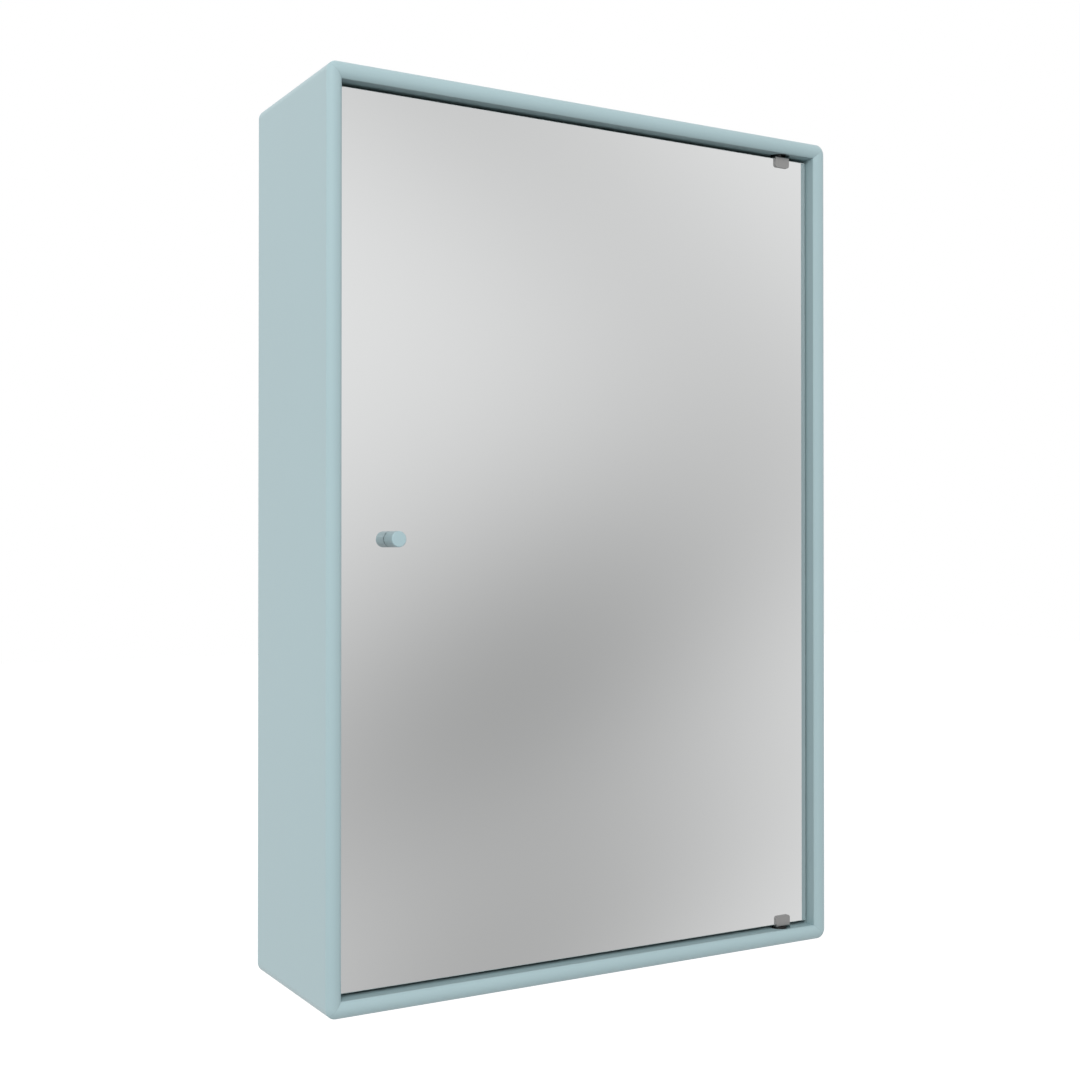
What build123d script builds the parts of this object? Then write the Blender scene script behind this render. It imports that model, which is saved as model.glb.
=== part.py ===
from build123d import *
import os
from math import hypot

# A mirror cabinet that hangs on a bathroom wall, with one mirror door on pivots at its right side.
# The origin is at the middle of the lower rear edge, on the wall. +X is to the right as one
# looks at the mirror, the front faces -Y, and +Z is up. All sizes are in millimetres.

# Carcass
width = 468.0
height = 696.0
crease_depth = 144.0  # from the wall to the creases where the rounded front edge begins
board = 12.0
nose_rise = 3.0  # how far the front edge bulges out between its two creases
corner_radius = 8.0  # the four outer corners, along the depth

# Splines glued into the mitres
spline_thickness = 3.0
spline_width = 8.0
spline_inset = 4.5  # from the inner corner to the spline's middle, along either board
spline_end_gap = 0.2
spline_front_gap = 14.0
spline_back_gap = 6.0

# Back panel in its groove, with a recess behind it for the wall fittings
back_thickness = 6.0
back_setback = 12.0
groove_depth = 5.0
groove_end_gap = 0.3

# Mirror door
side_gap = 2.0
end_gap = 3.0
door_recess = 8.0  # from the inner crease back to the glass
glass_thickness = 4.0
glass_arris = 0.4
film_thickness = 0.3
film_margin = 3.0
film_notch_gap = 1.0

# Pivot hinge clips
pivot_inset = 27.0  # from the door's right edge to the pivot axis
clip_width = 15.0
clip_cover = 7.5  # how much glass the clip's plates cover
clip_front = 1.4
clip_back = 3.0
clip_web = 1.7
clip_bend = 1.2
clip_corner = 2.2
liner_thickness = 0.4
plate_thickness = 1.0
plate_margin = 1.0
clip_screw_radius = 2.0
clip_screw_reach = 0.6  # how far the screw stands out of the clip's back to press the plate
socket_radius = 1.0
socket_depth = 1.8

# Pivot pins, their bushes, and the washer that carries the door
pin_radius = 2.5
pin_end_gap = 1.0
running_clearance = 0.05
bush_wall = 1.5
flange_radius = 6.5
flange_thickness = 1.4
bush_skin = 2.0  # board left beyond the bush
pocket_depth = 2.0
pocket_clearance = 0.35
washer_radius = 6.0

# Knob
knob_inset = 41.0  # from the door's left edge
knob_radius = 6.0
knob_reach = 15.0  # from the glass to the knob's face
knob_edge = 0.8
knob_hole_depth = 9.0
knob_screw_radius = 2.0
knob_screw_tip_gap = 1.0
screw_hole_clearance = 0.2

# Soft grommet in the glass, between the knob and the strike plate
glass_hole_radius = 3.0
grommet_radius = 5.2
grommet_front = 0.4
grommet_rear = 0.6

# Strike plate behind the glass, held by the knob's screw
strike_thickness = 1.5
strike_height = 16.0
strike_tail = 9.0  # beyond the knob's screw, away from the catch
strike_edge_gap = 2.0  # from the door's left edge
strike_corner = 3.0

# Magnetic catch on the left side panel
catch_width = 16.0
catch_block_height = 24.0
catch_block_depth = 17.0
catch_tab_height = 46.0
catch_tab_depth = 13.0
catch_tab_thickness = 3.0
catch_round = 1.5
magnet_width = 4.0
magnet_height = 17.0
magnet_depth = 12.0
magnet_recess = 0.4
pole_thickness = 1.2
pole_reach = 0.5
catch_screw_spacing = 35.0

# Screws for the catch and the wall hangers
screw_radius = 1.6
screw_head_radius = 3.0
screw_head_height = 2.0
screw_skin = 3.0  # board left beyond the end of the pilot hole
screw_tip_gap = 0.5  # from the screw's tip to the end of its pilot hole

# Two glass shelves on pegs
shelf_thickness = 5.0
shelf_side_gap = 1.2
shelf_back_gap = 1.5
shelf_tail_gap = 3.0  # from the swinging edge of the door to the shelf's front
peg_radius = 2.5
peg_length_out = 8.0  # how far a peg stands out of the board
peg_flat_height = 1.5  # from the peg's axis up to the flat that the shelf lies on
peg_hole_skin = 4.0
peg_edge_inset = 16.0  # from the shelf's front and rear edges to the pegs

# Wall hangers in the rear recess
keyhole_inset = 22.0  # from the side panel to the keyhole
hanger_width = 38.0
hanger_height = 50.0
hanger_steel = 2.0
hanger_wall_gap = 1.0
hanger_back_gap = 0.5
keyhole_entry_radius = 5.0
keyhole_slot_radius = 2.75
keyhole_rise = 12.0
keyhole_margin = 8.0  # from the keyhole's entry to the hanger's lower edge
hanger_screw_margin = 12.0  # from the screws to the hanger's upper and lower edges

cut_margin = 5.0  # how far a cutting shape runs past the material

# Places worked out from the sizes
inner_right = width / 2 - board
inner_top = height - board
mid_height = height / 2
back_front = -(back_setback + back_thickness)

door_left = -inner_right + side_gap
door_right = inner_right - side_gap
door_bottom = board + end_gap
door_top = inner_top - end_gap
glass_front = -(crease_depth - door_recess)
glass_rear = glass_front + glass_thickness

clip_front_face = glass_front - liner_thickness - clip_front
plate_rear = glass_rear + liner_thickness + plate_thickness
clip_back_face = plate_rear + clip_screw_reach + clip_back
clip_depth = clip_back_face - clip_front_face
clip_reach = liner_thickness + clip_web  # how far the clip stands past the edge of the glass
clip_top = door_top + clip_reach

pivot_x = door_right - pivot_inset
pivot_y = (clip_front_face + clip_back_face) / 2
pocket_radius = hypot(clip_width, clip_depth) / 2 + pocket_clearance
pocket_top = inner_top + pocket_depth
bush_radius = pin_radius + running_clearance + bush_wall
bush_top = height - bush_skin
flange_top_face = pocket_top - flange_thickness

knob_x = door_left + knob_inset
strike_front = glass_rear + grommet_rear
strike_rear = strike_front + strike_thickness

shelf_front = pivot_y + hypot(pivot_inset, glass_front - pivot_y) + shelf_tail_gap
shelf_rear = back_front - shelf_back_gap
peg_places_y = (shelf_front + peg_edge_inset, shelf_rear - peg_edge_inset)
shelf_peg_heights = [board + (inner_top - board) * share for share in (1 / 3, 2 / 3)]
peg_hole_depth = board - peg_hole_skin

hanger_x = inner_right - keyhole_inset
hanger_rear = -hanger_wall_gap
hanger_front = hanger_rear - hanger_steel
hanger_bottom = inner_top - hanger_height
keyhole_z = hanger_bottom + keyhole_margin + keyhole_entry_radius
hanger_screw_y = (hanger_front - back_setback) / 2


def facing(y):
    """The plane at depth y that faces the room: its local axes are X and Z."""
    return Plane.XZ.offset(-y)


def across(x):
    """The plane at x that looks along +X: its local axes are Y and Z."""
    return Plane.YZ.offset(x)


def level(z):
    """The horizontal plane at height z."""
    return Plane.XY.offset(z)


# Carcass boards. Each is a strip with a moulded front edge, cut to its mitres. The front edge
# runs on round the outer corners, which are rounded along the whole depth.

corner_signs = [(-1, -1), (-1, 1), (1, -1), (1, 1)]


def spline_solids(end_gap_each):
    """The four mitre splines, or the slots that they are glued into when given a gap."""
    front = crease_depth - spline_front_gap
    back = back_setback + back_thickness + spline_back_gap
    with BuildPart() as splines:
        with BuildSketch(facing(-back + end_gap_each)):
            for side, up in corner_signs:
                across_middle = side * (inner_right + spline_inset)
                up_middle = mid_height + up * (inner_top - mid_height + spline_inset)
                with Locations((across_middle, up_middle)):
                    Rectangle(
                        spline_width + 2 * end_gap_each,
                        spline_thickness,
                        rotation=-45 * side * up,
                    )
        extrude(amount=front - back + 2 * end_gap_each)
    return splines.part


# The section of a board: its depth along x, and its thickness from inside to outside along y
with BuildSketch() as board_section:
    with BuildLine():
        Polyline((crease_depth, board), (0, board), (0, 0), (crease_depth, 0))
        ThreePointArc(
            (crease_depth, 0),
            (crease_depth + nose_rise, board / 2),
            (crease_depth, board),
        )
    make_face()

# The outer part of the section, which is swung round each outer corner up to the mitre
corner_axis_y = board - corner_radius
with BuildSketch() as corner_section:
    add(board_section.sketch)
    with Locations((0, corner_axis_y)):
        Rectangle(crease_depth + nose_rise, corner_radius, align=Align.MIN, mode=Mode.INTERSECT)


def carcass_board(plane, length, mitre):
    """A board that starts on the plane, with its depth along local x and its thickness along y."""
    corner_start = plane.offset(corner_radius)
    corner_end = plane.offset(length - corner_radius)
    with BuildPart() as strip:
        with BuildSketch(corner_start):
            add(board_section.sketch)
        extrude(amount=length - 2 * corner_radius)
        with BuildSketch(facing(0)):
            with BuildLine():
                Polyline(*mitre, close=True)
            make_face()
        extrude(amount=crease_depth + nose_rise + cut_margin, mode=Mode.INTERSECT)
        for corner, turn in ((corner_start, -1), (corner_end, 1)):
            with BuildSketch(corner):
                add(corner_section.sketch)
            corner_axis = Axis(corner.from_local_coords((0, corner_axis_y)), corner.x_dir * turn)
            revolve(axis=corner_axis, revolution_arc=45)
        # Groove for the back panel
        with BuildSketch(facing(-back_setback)):
            with Locations((0, mid_height)):
                Rectangle(
                    2 * (inner_right + groove_depth), inner_top - board + 2 * groove_depth
                )
        extrude(amount=back_thickness, mode=Mode.SUBTRACT)
        add(spline_solids(spline_end_gap), mode=Mode.SUBTRACT)
    return strip.part


outer_right = width / 2
upper_mitre = [
    (-outer_right, height),
    (outer_right, height),
    (inner_right, inner_top),
    (-inner_right, inner_top),
]
lower_mitre = [(x, height - z) for x, z in upper_mitre]
right_mitre = [
    (outer_right, 0),
    (outer_right, height),
    (inner_right, inner_top),
    (inner_right, board),
]
left_mitre = [(-x, z) for x, z in right_mitre]

with BuildPart() as top_panel:
    add(
        carcass_board(
            Plane((outer_right, 0, inner_top), x_dir=(0, -1, 0), z_dir=(-1, 0, 0)),
            width,
            upper_mitre,
        )
    )
    # Pocket that the clip and the bush's flange sit in, and the bush's hole
    with BuildSketch(level(inner_top)):
        with Locations((pivot_x, pivot_y)):
            Circle(pocket_radius)
    extrude(amount=pocket_depth, mode=Mode.SUBTRACT)
    with BuildSketch(level(pocket_top)):
        with Locations((pivot_x, pivot_y)):
            Circle(bush_radius)
    extrude(amount=bush_top - pocket_top, mode=Mode.SUBTRACT)

with BuildPart() as bottom_panel:
    add(
        carcass_board(
            Plane((-outer_right, 0, board), x_dir=(0, -1, 0), z_dir=(1, 0, 0)),
            width,
            lower_mitre,
        )
    )
    with BuildSketch(level(board)):
        with Locations((pivot_x, pivot_y)):
            Circle(pocket_radius)
    extrude(amount=-pocket_depth, mode=Mode.SUBTRACT)
    with BuildSketch(level(board - pocket_depth)):
        with Locations((pivot_x, pivot_y)):
            Circle(bush_radius)
    extrude(amount=bush_skin - (board - pocket_depth), mode=Mode.SUBTRACT)

peg_hole_places = [(y, z) for y in peg_places_y for z in shelf_peg_heights]
hanger_screw_heights = (hanger_bottom + hanger_screw_margin, inner_top - hanger_screw_margin)
hanger_screw_places = [(hanger_screw_y, z) for z in hanger_screw_heights]

with BuildPart() as right_side_panel:
    add(
        carcass_board(
            Plane((inner_right, 0, 0), x_dir=(0, -1, 0), z_dir=(0, 0, 1)),
            height,
            right_mitre,
        )
    )
    with BuildSketch(across(inner_right)):
        with Locations(*peg_hole_places):
            Circle(peg_radius)
    extrude(amount=peg_hole_depth, mode=Mode.SUBTRACT)
    with BuildSketch(across(inner_right)):
        with Locations(*hanger_screw_places):
            Circle(screw_radius)
    extrude(amount=board - screw_skin, mode=Mode.SUBTRACT)

catch_front = strike_rear + pole_reach
catch_tab_y = catch_front + catch_block_depth - catch_tab_depth / 2
catch_screw_places = [
    (catch_tab_y, mid_height - catch_screw_spacing / 2),
    (catch_tab_y, mid_height + catch_screw_spacing / 2),
]

with BuildPart() as left_side_panel:
    add(
        carcass_board(
            Plane((-inner_right, 0, height), x_dir=(0, -1, 0), z_dir=(0, 0, -1)),
            height,
            left_mitre,
        )
    )
    with BuildSketch(across(-inner_right)):
        with Locations(*peg_hole_places):
            Circle(peg_radius)
    extrude(amount=-peg_hole_depth, mode=Mode.SUBTRACT)
    with BuildSketch(across(-inner_right)):
        with Locations(*hanger_screw_places, *catch_screw_places):
            Circle(screw_radius)
    extrude(amount=-(board - screw_skin), mode=Mode.SUBTRACT)

with BuildPart() as corner_splines:
    add(spline_solids(0))

with BuildPart() as back_panel:
    with BuildSketch(facing(-back_setback)):
        with Locations((0, mid_height)):
            Rectangle(
                2 * (inner_right + groove_depth - groove_end_gap),
                inner_top - board + 2 * (groove_depth - groove_end_gap),
            )
    extrude(amount=back_thickness)


# Mirror door


def front_edges(piece):
    """The outer edges of a flat piece's face towards the room."""
    return piece.faces().sort_by(Axis.Y)[0].outer_wire().edges()


def rear_edges(piece):
    """The outer edges of a flat piece's face towards the wall."""
    return piece.faces().sort_by(Axis.Y)[-1].outer_wire().edges()


door_middle = ((door_left + door_right) / 2, (door_bottom + door_top) / 2)

with BuildPart() as mirror_glass:
    with BuildSketch(facing(glass_rear)):
        with Locations(door_middle):
            Rectangle(door_right - door_left, door_top - door_bottom)
        with Locations((knob_x, mid_height)):
            Circle(glass_hole_radius, mode=Mode.SUBTRACT)
    extrude(amount=glass_thickness)
    chamfer(front_edges(mirror_glass) + rear_edges(mirror_glass), glass_arris)

# Film that holds the pieces together if the glass breaks, cut away at the clips and the knob
with BuildPart() as safety_film:
    with BuildSketch(facing(glass_rear + film_thickness)):
        with Locations(door_middle):
            Rectangle(
                door_right - door_left - 2 * film_margin,
                door_top - door_bottom - 2 * film_margin,
            )
        with Locations((pivot_x, door_bottom), (pivot_x, door_top)):
            Rectangle(
                clip_width + 2 * film_notch_gap,
                2 * (clip_cover + film_notch_gap),
                mode=Mode.SUBTRACT,
            )
        with Locations((knob_x, mid_height)):
            Circle(grommet_radius + film_notch_gap, mode=Mode.SUBTRACT)
    extrude(amount=film_thickness)


# Hinge clips. Each upper piece is made first, and the lower one is its mirror image.

clip_left = pivot_x - clip_width / 2
clip_free_end = door_top - clip_cover
clip_screw_z = door_top - clip_cover / 2
mid_plane = level(mid_height)


with BuildPart() as hinge_clip_upper:
    with BuildSketch(across(clip_left)):
        with BuildLine():
            Polyline(
                (clip_front_face, clip_free_end),
                (clip_front_face, clip_top),
                (clip_back_face, clip_top),
                (clip_back_face, clip_free_end),
                (clip_back_face - clip_back, clip_free_end),
                (clip_back_face - clip_back, clip_top - clip_web),
                (clip_front_face + clip_front, clip_top - clip_web),
                (clip_front_face + clip_front, clip_free_end),
                close=True,
            )
        make_face()
    extrude(amount=clip_width)
    bends = hinge_clip_upper.edges().filter_by(Axis.X).group_by(Axis.Z)[-1]
    fillet(bends, clip_bend)
    plate_corners = hinge_clip_upper.edges().filter_by(Axis.Y).group_by(Axis.Z)[0]
    fillet(plate_corners, clip_corner)
    with BuildSketch(facing(clip_back_face)):
        with Locations((pivot_x, clip_screw_z)):
            Circle(clip_screw_radius)
    extrude(amount=clip_back, mode=Mode.SUBTRACT)
    with BuildSketch(level(clip_top)):
        with Locations((pivot_x, pivot_y)):
            Circle(pin_radius)
    extrude(amount=-clip_web, mode=Mode.SUBTRACT)

with BuildPart() as hinge_clip_lower:
    mirror(hinge_clip_upper.part, about=mid_plane)

# Soft liner folded over the edge of the glass, as wide as the clip
with BuildPart() as clip_liner_upper:
    with BuildSketch(across(clip_left)):
        with BuildLine():
            Polyline(
                (glass_front - liner_thickness, clip_free_end),
                (glass_front - liner_thickness, clip_top - clip_web),
                (glass_rear + liner_thickness, clip_top - clip_web),
                (glass_rear + liner_thickness, clip_free_end),
                (glass_rear, clip_free_end),
                (glass_rear, door_top),
                (glass_front, door_top),
                (glass_front, clip_free_end),
                close=True,
            )
        make_face()
    extrude(amount=clip_width)
    fillet(
        clip_liner_upper.edges().filter_by(Axis.Y).group_by(Axis.Z)[0],
        clip_corner,
    )

with BuildPart() as clip_liner_lower:
    mirror(clip_liner_upper.part, about=mid_plane)

# Steel plate that spreads the screw's pressure
with BuildPart() as pressure_plate_upper:
    with BuildSketch(facing(plate_rear)):
        with Locations((pivot_x, clip_screw_z)):
            Rectangle(clip_width - 2 * plate_margin, clip_cover - 2 * plate_margin)
    extrude(amount=plate_thickness)

with BuildPart() as pressure_plate_lower:
    mirror(pressure_plate_upper.part, about=mid_plane)

with BuildPart() as clip_screws:
    with BuildSketch(facing(clip_back_face)):
        with Locations((pivot_x, clip_screw_z)):
            Circle(clip_screw_radius)
    extrude(amount=clip_back + clip_screw_reach)
    with BuildSketch(facing(clip_back_face)):
        with Locations((pivot_x, clip_screw_z)):
            RegularPolygon(socket_radius, 6, major_radius=False)
    extrude(amount=socket_depth, mode=Mode.SUBTRACT)
    mirror(about=mid_plane)

with BuildPart() as hinge_pins:
    with BuildSketch(level(clip_top - clip_web)):
        with Locations((pivot_x, pivot_y)):
            Circle(pin_radius)
    extrude(amount=bush_top - pin_end_gap - (clip_top - clip_web))
    mirror(about=mid_plane)

# Flanged bushes, pressed into the boards with their flanges in the pockets
with BuildPart() as hinge_bushes:
    with BuildSketch(level(flange_top_face)):
        with Locations((pivot_x, pivot_y)):
            Circle(flange_radius)
    extrude(amount=flange_thickness)
    with BuildSketch(level(pocket_top)):
        with Locations((pivot_x, pivot_y)):
            Circle(bush_radius)
    extrude(amount=bush_top - pocket_top)
    with BuildSketch(level(flange_top_face)):
        with Locations((pivot_x, pivot_y)):
            Circle(pin_radius + running_clearance)
    extrude(amount=bush_top - flange_top_face, mode=Mode.SUBTRACT)
    mirror(about=mid_plane)


# Washer on the lower pin, which carries the door
with BuildPart() as hinge_washer:
    with BuildSketch(level(height - clip_top)):
        with Locations((pivot_x, pivot_y)):
            Circle(washer_radius)
            Circle(pin_radius + running_clearance, mode=Mode.SUBTRACT)
    extrude(amount=-(flange_top_face - clip_top))


# Knob and what its screw holds. All of it is on one axis through the glass.

knob_base = glass_front - grommet_front
knob_face = glass_front - knob_reach
knob_point = (knob_x, mid_height)

with BuildPart() as knob:
    with BuildSketch(facing(knob_base)):
        with Locations(knob_point):
            Circle(knob_radius)
    extrude(amount=knob_base - knob_face)
    chamfer(front_edges(knob), knob_edge)
    with BuildSketch(facing(knob_base)):
        with Locations(knob_point):
            Circle(knob_screw_radius)
    extrude(amount=knob_hole_depth, mode=Mode.SUBTRACT)


# Grommet, turned about the knob's axis: a sleeve in the glass between a thin and a thick flange
with BuildPart() as knob_grommet:
    with BuildSketch(Plane((knob_x, 0, mid_height), x_dir=(1, 0, 0), z_dir=(0, 0, 1))):
        bore = knob_screw_radius + screw_hole_clearance
        with BuildLine():
            Polyline(
                (bore, knob_base),
                (grommet_radius, knob_base),
                (grommet_radius, glass_front),
                (glass_hole_radius, glass_front),
                (glass_hole_radius, glass_rear),
                (grommet_radius, glass_rear),
                (grommet_radius, strike_front),
                (bore, strike_front),
                close=True,
            )
        make_face()
    revolve(axis=Axis((knob_x, 0, mid_height), (0, 1, 0)))

with BuildPart() as strike_plate:
    strike_left = door_left + strike_edge_gap
    strike_right = knob_x + strike_tail
    with BuildSketch(facing(strike_rear)):
        with Locations(((strike_left + strike_right) / 2, mid_height)):
            RectangleRounded(strike_right - strike_left, strike_height, strike_corner)
        with Locations(knob_point):
            Circle(knob_screw_radius + screw_hole_clearance, mode=Mode.SUBTRACT)
    extrude(amount=strike_thickness)


def screw_in(seat, shank_radius, shank_length):
    """A screw with its head seated on the plane and its shank behind it."""
    share = shank_radius / screw_radius
    with BuildPart() as screw:
        with BuildSketch(seat):
            Circle(screw_head_radius * share)
        extrude(amount=screw_head_height * share)
        with BuildSketch(seat):
            Circle(shank_radius)
        extrude(amount=-shank_length)
    return screw.part


with BuildPart() as knob_screw:
    knob_screw_length = strike_rear - knob_base + knob_hole_depth - knob_screw_tip_gap
    knob_screw_seat = Plane((knob_x, strike_rear, mid_height), x_dir=(1, 0, 0), z_dir=(0, 1, 0))
    add(screw_in(knob_screw_seat, knob_screw_radius, knob_screw_length))


# Magnetic catch. Its pole plates touch the strike plate when the door is shut.

catch_x = -inner_right + catch_width / 2
catch_rear = catch_front + catch_block_depth

with BuildPart() as catch_body:
    with BuildSketch(facing(catch_rear)):
        with Locations((catch_x, mid_height)):
            Rectangle(catch_width, catch_block_height)
    extrude(amount=catch_block_depth)
    room_side = catch_body.edges().filter_by(Axis.Y).group_by(Axis.X)[-1]
    fillet(room_side, catch_round)
    with BuildSketch(facing(catch_rear)):
        with Locations((-inner_right + catch_tab_thickness / 2, mid_height)):
            Rectangle(catch_tab_thickness, catch_tab_height)
    extrude(amount=catch_tab_depth)
    with BuildSketch(facing(catch_front)):
        with Locations((catch_x, mid_height)):
            Rectangle(magnet_width + 2 * pole_thickness, magnet_height)
    extrude(amount=-magnet_depth, mode=Mode.SUBTRACT)
    with BuildSketch(across(-inner_right)):
        with Locations(*catch_screw_places):
            Circle(screw_radius)
    extrude(amount=catch_tab_thickness, mode=Mode.SUBTRACT)

with BuildPart() as catch_magnet:
    with BuildSketch(facing(catch_front + magnet_depth)):
        with Locations((catch_x, mid_height)):
            Rectangle(magnet_width, magnet_height)
    extrude(amount=magnet_depth - magnet_recess)

with BuildPart() as catch_poles:
    pole_offset = (magnet_width + pole_thickness) / 2
    with BuildSketch(facing(catch_front + magnet_depth)):
        with Locations((catch_x - pole_offset, mid_height), (catch_x + pole_offset, mid_height)):
            Rectangle(pole_thickness, magnet_height)
    extrude(amount=magnet_depth + pole_reach)

# Every screw that goes into a board stops short of the end of its pilot hole.
board_screw_length = board - screw_skin - screw_tip_gap

with BuildPart() as catch_screws:
    for y, z in catch_screw_places:
        seat = Plane(
            (-inner_right + catch_tab_thickness, y, z), x_dir=(0, 1, 0), z_dir=(1, 0, 0)
        )
        add(screw_in(seat, screw_radius, board_screw_length + catch_tab_thickness))


# Shelves and the pegs that they lie on


def shelf(peg_z):
    """A glass shelf lying on the pegs at the given height."""
    with BuildPart() as pane:
        with BuildSketch(level(peg_z + peg_flat_height)):
            with Locations((0, (shelf_front + shelf_rear) / 2)):
                Rectangle(2 * (inner_right - shelf_side_gap), shelf_rear - shelf_front)
        extrude(amount=shelf_thickness)
        for face in (pane.faces().sort_by(Axis.Z)[0], pane.faces().sort_by(Axis.Z)[-1]):
            chamfer(face.outer_wire().edges(), glass_arris)
    return pane.part


def shelf_pegs(peg_z):
    """Four round pegs, each with a flat for the shelf on the end that stands out."""
    places = [(y, peg_z) for y in peg_places_y]
    cut_places = [(y, peg_z + peg_flat_height + peg_radius) for y in peg_places_y]
    with BuildPart() as pegs:
        for side in (-1, 1):
            with BuildSketch(across(side * inner_right)):
                with Locations(*places):
                    Circle(peg_radius)
            extrude(amount=side * peg_hole_depth)
            with BuildSketch(across(side * inner_right)):
                with Locations(*places):
                    Circle(peg_radius)
                with Locations(*cut_places):
                    Rectangle(2 * peg_radius, 2 * peg_radius, mode=Mode.SUBTRACT)
            extrude(amount=-side * peg_length_out)
    return pegs.part


lower_peg_z, upper_peg_z = shelf_peg_heights

with BuildPart() as shelf_lower:
    add(shelf(lower_peg_z))

with BuildPart() as shelf_upper:
    add(shelf(upper_peg_z))

with BuildPart() as shelf_pegs_lower:
    add(shelf_pegs(lower_peg_z))

with BuildPart() as shelf_pegs_upper:
    add(shelf_pegs(upper_peg_z))


# Wall hangers. The right one is made first, and the left one is its mirror image.

hanger_middle_x = inner_right - hanger_width / 2
flange_front = -back_setback + hanger_back_gap

with BuildPart() as hanger_right:
    with BuildSketch(facing(hanger_rear)):
        with Locations((hanger_middle_x, (hanger_bottom + inner_top) / 2)):
            Rectangle(hanger_width, hanger_height)
        with Locations((hanger_x, keyhole_z)):
            Circle(keyhole_entry_radius, mode=Mode.SUBTRACT)
        with Locations((hanger_x, keyhole_z + keyhole_rise / 2)):
            SlotOverall(
                keyhole_rise + 2 * keyhole_slot_radius,
                2 * keyhole_slot_radius,
                rotation=90,
                mode=Mode.SUBTRACT,
            )
    extrude(amount=hanger_steel)
    with BuildSketch(facing(hanger_front)):
        with Locations((inner_right - hanger_steel / 2, (hanger_bottom + inner_top) / 2)):
            Rectangle(hanger_steel, hanger_height)
    extrude(amount=hanger_front - flange_front)
    with BuildSketch(across(inner_right)):
        with Locations(*hanger_screw_places):
            Circle(screw_radius)
    extrude(amount=-hanger_steel, mode=Mode.SUBTRACT)

with BuildPart() as hanger_left:
    mirror(hanger_right.part, about=Plane.YZ)

with BuildPart() as hanger_screws:
    for y, z in hanger_screw_places:
        side_seat = Plane(
            (inner_right - hanger_steel, y, z), x_dir=(0, 1, 0), z_dir=(-1, 0, 0)
        )
        add(screw_in(side_seat, screw_radius, board_screw_length + hanger_steel))
    mirror(about=Plane.YZ)


pieces = {
    "left_side_panel": left_side_panel,
    "right_side_panel": right_side_panel,
    "top_panel": top_panel,
    "bottom_panel": bottom_panel,
    "corner_splines": corner_splines,
    "back_panel": back_panel,
    "mirror_glass": mirror_glass,
    "safety_film": safety_film,
    "hinge_clip_upper": hinge_clip_upper,
    "hinge_clip_lower": hinge_clip_lower,
    "clip_liner_upper": clip_liner_upper,
    "clip_liner_lower": clip_liner_lower,
    "pressure_plate_upper": pressure_plate_upper,
    "pressure_plate_lower": pressure_plate_lower,
    "clip_screws": clip_screws,
    "hinge_pins": hinge_pins,
    "hinge_bushes": hinge_bushes,
    "hinge_washer": hinge_washer,
    "knob": knob,
    "knob_grommet": knob_grommet,
    "knob_screw": knob_screw,
    "strike_plate": strike_plate,
    "catch_body": catch_body,
    "catch_magnet": catch_magnet,
    "catch_poles": catch_poles,
    "catch_screws": catch_screws,
    "shelf_lower": shelf_lower,
    "shelf_upper": shelf_upper,
    "shelf_pegs_lower": shelf_pegs_lower,
    "shelf_pegs_upper": shelf_pegs_upper,
    "hanger_left": hanger_left,
    "hanger_right": hanger_right,
    "hanger_screws": hanger_screws,
}

os.makedirs("parts", exist_ok=True)
for name, piece in pieces.items():
    piece.part.label = name
    export_step(piece.part, f"parts/{name}.step")
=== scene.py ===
# %% [markdown]
# # A bathroom mirror cabinet
# The cabinet is a shallow lacquered box that hangs on a wall. Its door is a bare mirror that
# turns on two small clips at its right edge, and a round lacquered knob opens it.
# The solids come from a CAD model, in metres, with +Z up and the wall at Y = 0. This lesson
# keeps the ones whose shape is right, models the finer pieces anew, and gives each a finish.

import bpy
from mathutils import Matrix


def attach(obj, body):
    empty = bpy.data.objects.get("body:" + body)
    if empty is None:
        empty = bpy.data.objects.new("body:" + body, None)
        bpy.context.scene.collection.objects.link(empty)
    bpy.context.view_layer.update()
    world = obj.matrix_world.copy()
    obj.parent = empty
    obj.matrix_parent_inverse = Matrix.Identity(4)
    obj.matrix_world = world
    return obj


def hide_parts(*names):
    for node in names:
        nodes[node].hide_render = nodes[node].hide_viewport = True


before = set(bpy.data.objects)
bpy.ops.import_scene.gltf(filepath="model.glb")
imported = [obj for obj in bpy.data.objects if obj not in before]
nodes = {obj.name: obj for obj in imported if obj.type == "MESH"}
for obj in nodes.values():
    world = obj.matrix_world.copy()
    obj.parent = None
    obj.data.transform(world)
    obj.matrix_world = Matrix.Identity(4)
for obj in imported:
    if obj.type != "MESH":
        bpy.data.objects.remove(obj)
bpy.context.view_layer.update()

# %% Tools and units
from math import radians

import bpy
from mathutils import Vector

mm = 0.001
scene = bpy.context.scene

# %% [markdown]
# ## Helpers for the finishes
# Colours are written as on a paint card, as sRGB hex codes. Blender's shaders expect linear
# light, so one function turns them over. A second one adds a node to a material, sets it and
# links it. The others are short names for the nodes that nearly every finish needs.


# %% Colours and nodes
def linear(code):
    """A paint-card colour such as #AFC9CE, as the linear RGBA that a shader expects."""
    shares = [int(code[i : i + 2], 16) / 255 for i in (1, 3, 5)]
    return [s / 12.92 if s <= 0.04045 else ((s + 0.055) / 1.055) ** 2.4 for s in shares] + [1]


def add_node(owner, kind, inputs=None, **settings):
    """Adds a node to a material or world. Each input gets a value, or the socket that feeds it."""
    node = owner.node_tree.nodes.new("ShaderNode" + kind)
    for setting, value in settings.items():
        setattr(node, setting, value)
    for name, value in (inputs or {}).items():
        if isinstance(value, bpy.types.NodeSocket):
            owner.node_tree.links.new(value, node.inputs[name])
        else:
            node.inputs[name].default_value = value
    return node


def new_material(name):
    """A new material, its shader, and the place on the object that its patterns follow."""
    material = bpy.data.materials.new(name)
    material.use_nodes = True
    shader = material.node_tree.nodes["Principled BSDF"]
    place = add_node(material, "TexCoord").outputs["Object"]
    return material, shader, place


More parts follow.
